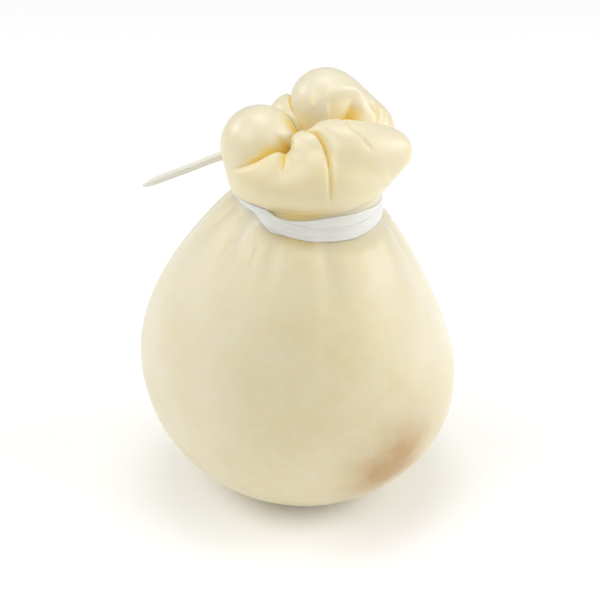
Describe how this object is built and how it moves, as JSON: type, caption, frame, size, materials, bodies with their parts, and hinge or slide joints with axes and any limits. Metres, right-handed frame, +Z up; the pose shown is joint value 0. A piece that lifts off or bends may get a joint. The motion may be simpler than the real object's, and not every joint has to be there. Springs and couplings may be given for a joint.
{
  "type": "scamorza",
  "caption": "Pear-shaped stretched-curd cheese: a round body, a waist bound with white raffia, and a head of gathered folds; stands on its flattened base.",
  "frame": {"origin": "on the flat spot under the cheese, below the middle of the round body", "axes": "+Z up through the waist to the head; -Y is the side shown in the picture; +X to its right"},
  "size_m": [0.0913, 0.0903, 0.1252],
  "materials": {
    "cheese": "smooth, slightly oily pale cream skin, warmer in the creases",
    "raffia": "glossy white raffia with fine lengthwise fibres"
  },
  "bodies": {
    "root": {"cheese": "cheese", "tie": "raffia", "tie_tail": "raffia"}
  },
  "joints": []
}
